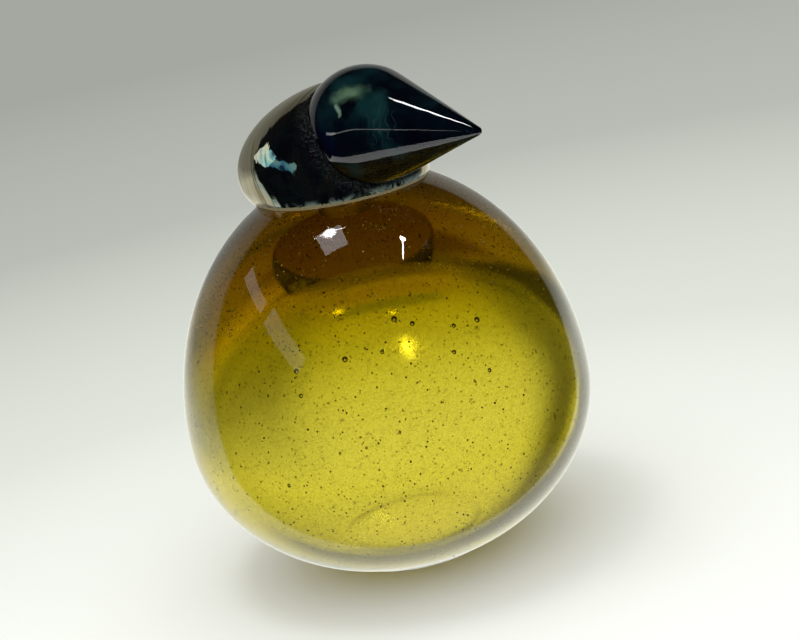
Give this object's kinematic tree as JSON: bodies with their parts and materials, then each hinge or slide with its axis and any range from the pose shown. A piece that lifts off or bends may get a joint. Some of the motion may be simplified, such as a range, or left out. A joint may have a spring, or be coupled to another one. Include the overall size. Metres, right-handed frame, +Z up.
{
  "type": "glass bird figurine",
  "caption": "Round hand-blown glass bird: hollow amber bulb with seed bubbles, dark lustre neck collar, and a clear-cased dark head drop drawn out into a pointed beak.",
  "frame": {"origin": "centre of the flat foot that the bird stands on", "axes": "+Z up through the foot and the neck, +X the way the beak points"},
  "size_m": [0.092, 0.092, 0.1113],
  "materials": {
    "amber_glass": "fire-polished amber glass full of seed bubbles",
    "dark_lustre": "near-black glass with a broken teal and silver lustre",
    "clear_glass": "fire-polished clear glass with faint cords",
    "dark_blue_glass": "dense blue-black glass with teal clouding"
  },
  "bodies": {
    "root": {"body_outer_gather": "amber_glass", "body_inner_gather": "amber_glass", "neck_plug": "amber_glass", "neck_collar": "dark_lustre", "head_casing": "clear_glass", "head_core": "dark_blue_glass"}
  },
  "joints": []
}
